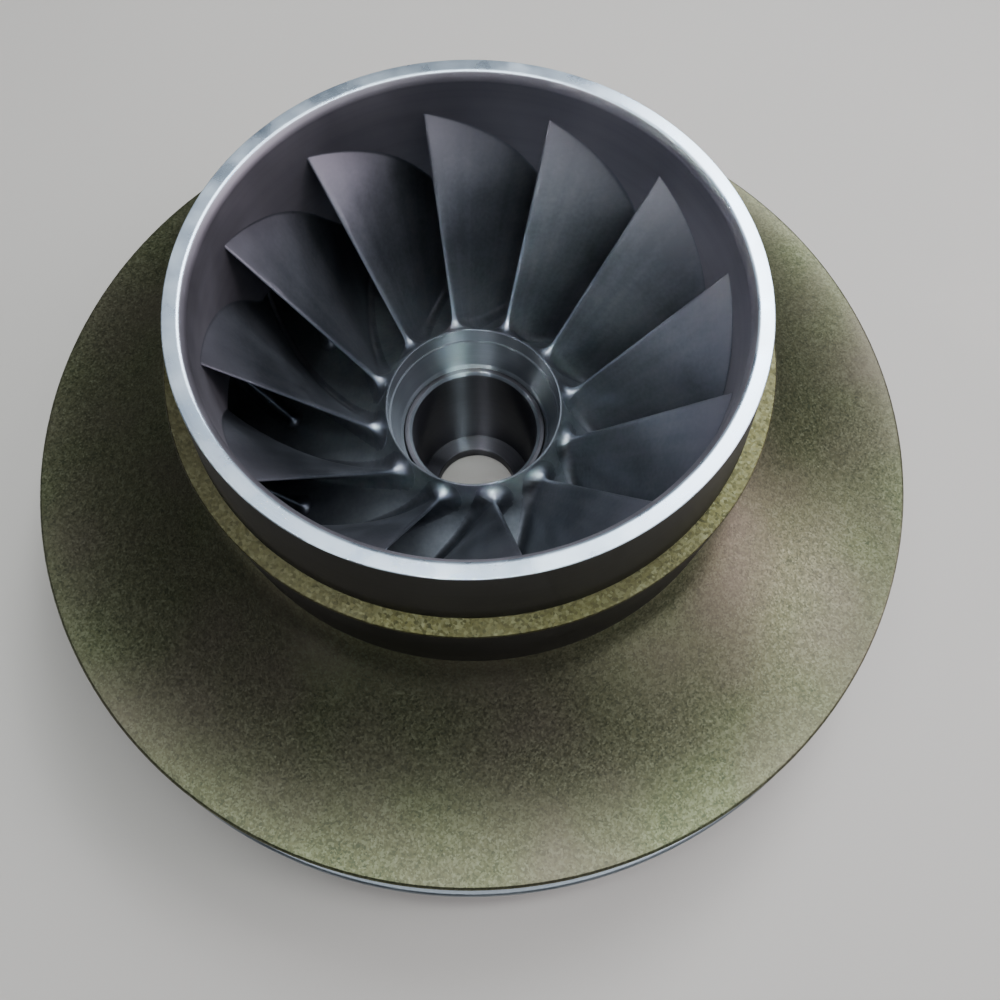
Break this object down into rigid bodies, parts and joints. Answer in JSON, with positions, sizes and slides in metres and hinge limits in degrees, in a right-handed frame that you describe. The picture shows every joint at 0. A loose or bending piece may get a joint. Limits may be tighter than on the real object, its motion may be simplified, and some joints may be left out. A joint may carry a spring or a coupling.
{
  "type": "closed centrifugal impeller",
  "caption": "Closed centrifugal compressor impeller with a flared cover, stepped eye ring, full and splitter blades and a stepped shaft bore.",
  "frame": {"origin": "centre of the hub's bottom face, on the shaft axis", "axes": "+Z along the shaft axis, towards the suction eye"},
  "size_m": [0.2232, 0.2232, 0.1032],
  "materials": {
    "cast_hub": "machined and bead-blasted aluminium casting, satin",
    "steel_bush": "turned and polished steel",
    "coated_cover": "grit-blasted aluminium with a thin olive conversion coat",
    "machined_ring": "bright turned aluminium",
    "cast_blade": "aluminium casting, satin, dull grey"
  },
  "bodies": {
    "root": {"hub_disc": "cast_hub", "bore_bush": "steel_bush", "cover_plate": "coated_cover", "eye_ring": "machined_ring", "blade_01": "cast_blade", "blade_02": "cast_blade", "blade_03": "cast_blade", "blade_04": "cast_blade", "blade_05": "cast_blade", "blade_06": "cast_blade", "blade_07": "cast_blade", "blade_08": "cast_blade", "blade_09": "cast_blade", "blade_10": "cast_blade", "blade_11": "cast_blade", "blade_12": "cast_blade", "splitter_01": "cast_blade", "splitter_02": "cast_blade", "splitter_03": "cast_blade", "splitter_04": "cast_blade", "splitter_05": "cast_blade", "splitter_06": "cast_blade", "splitter_07": "cast_blade", "splitter_08": "cast_blade", "splitter_09": "cast_blade", "splitter_10": "cast_blade", "splitter_11": "cast_blade", "splitter_12": "cast_blade"}
  },
  "joints": []
}
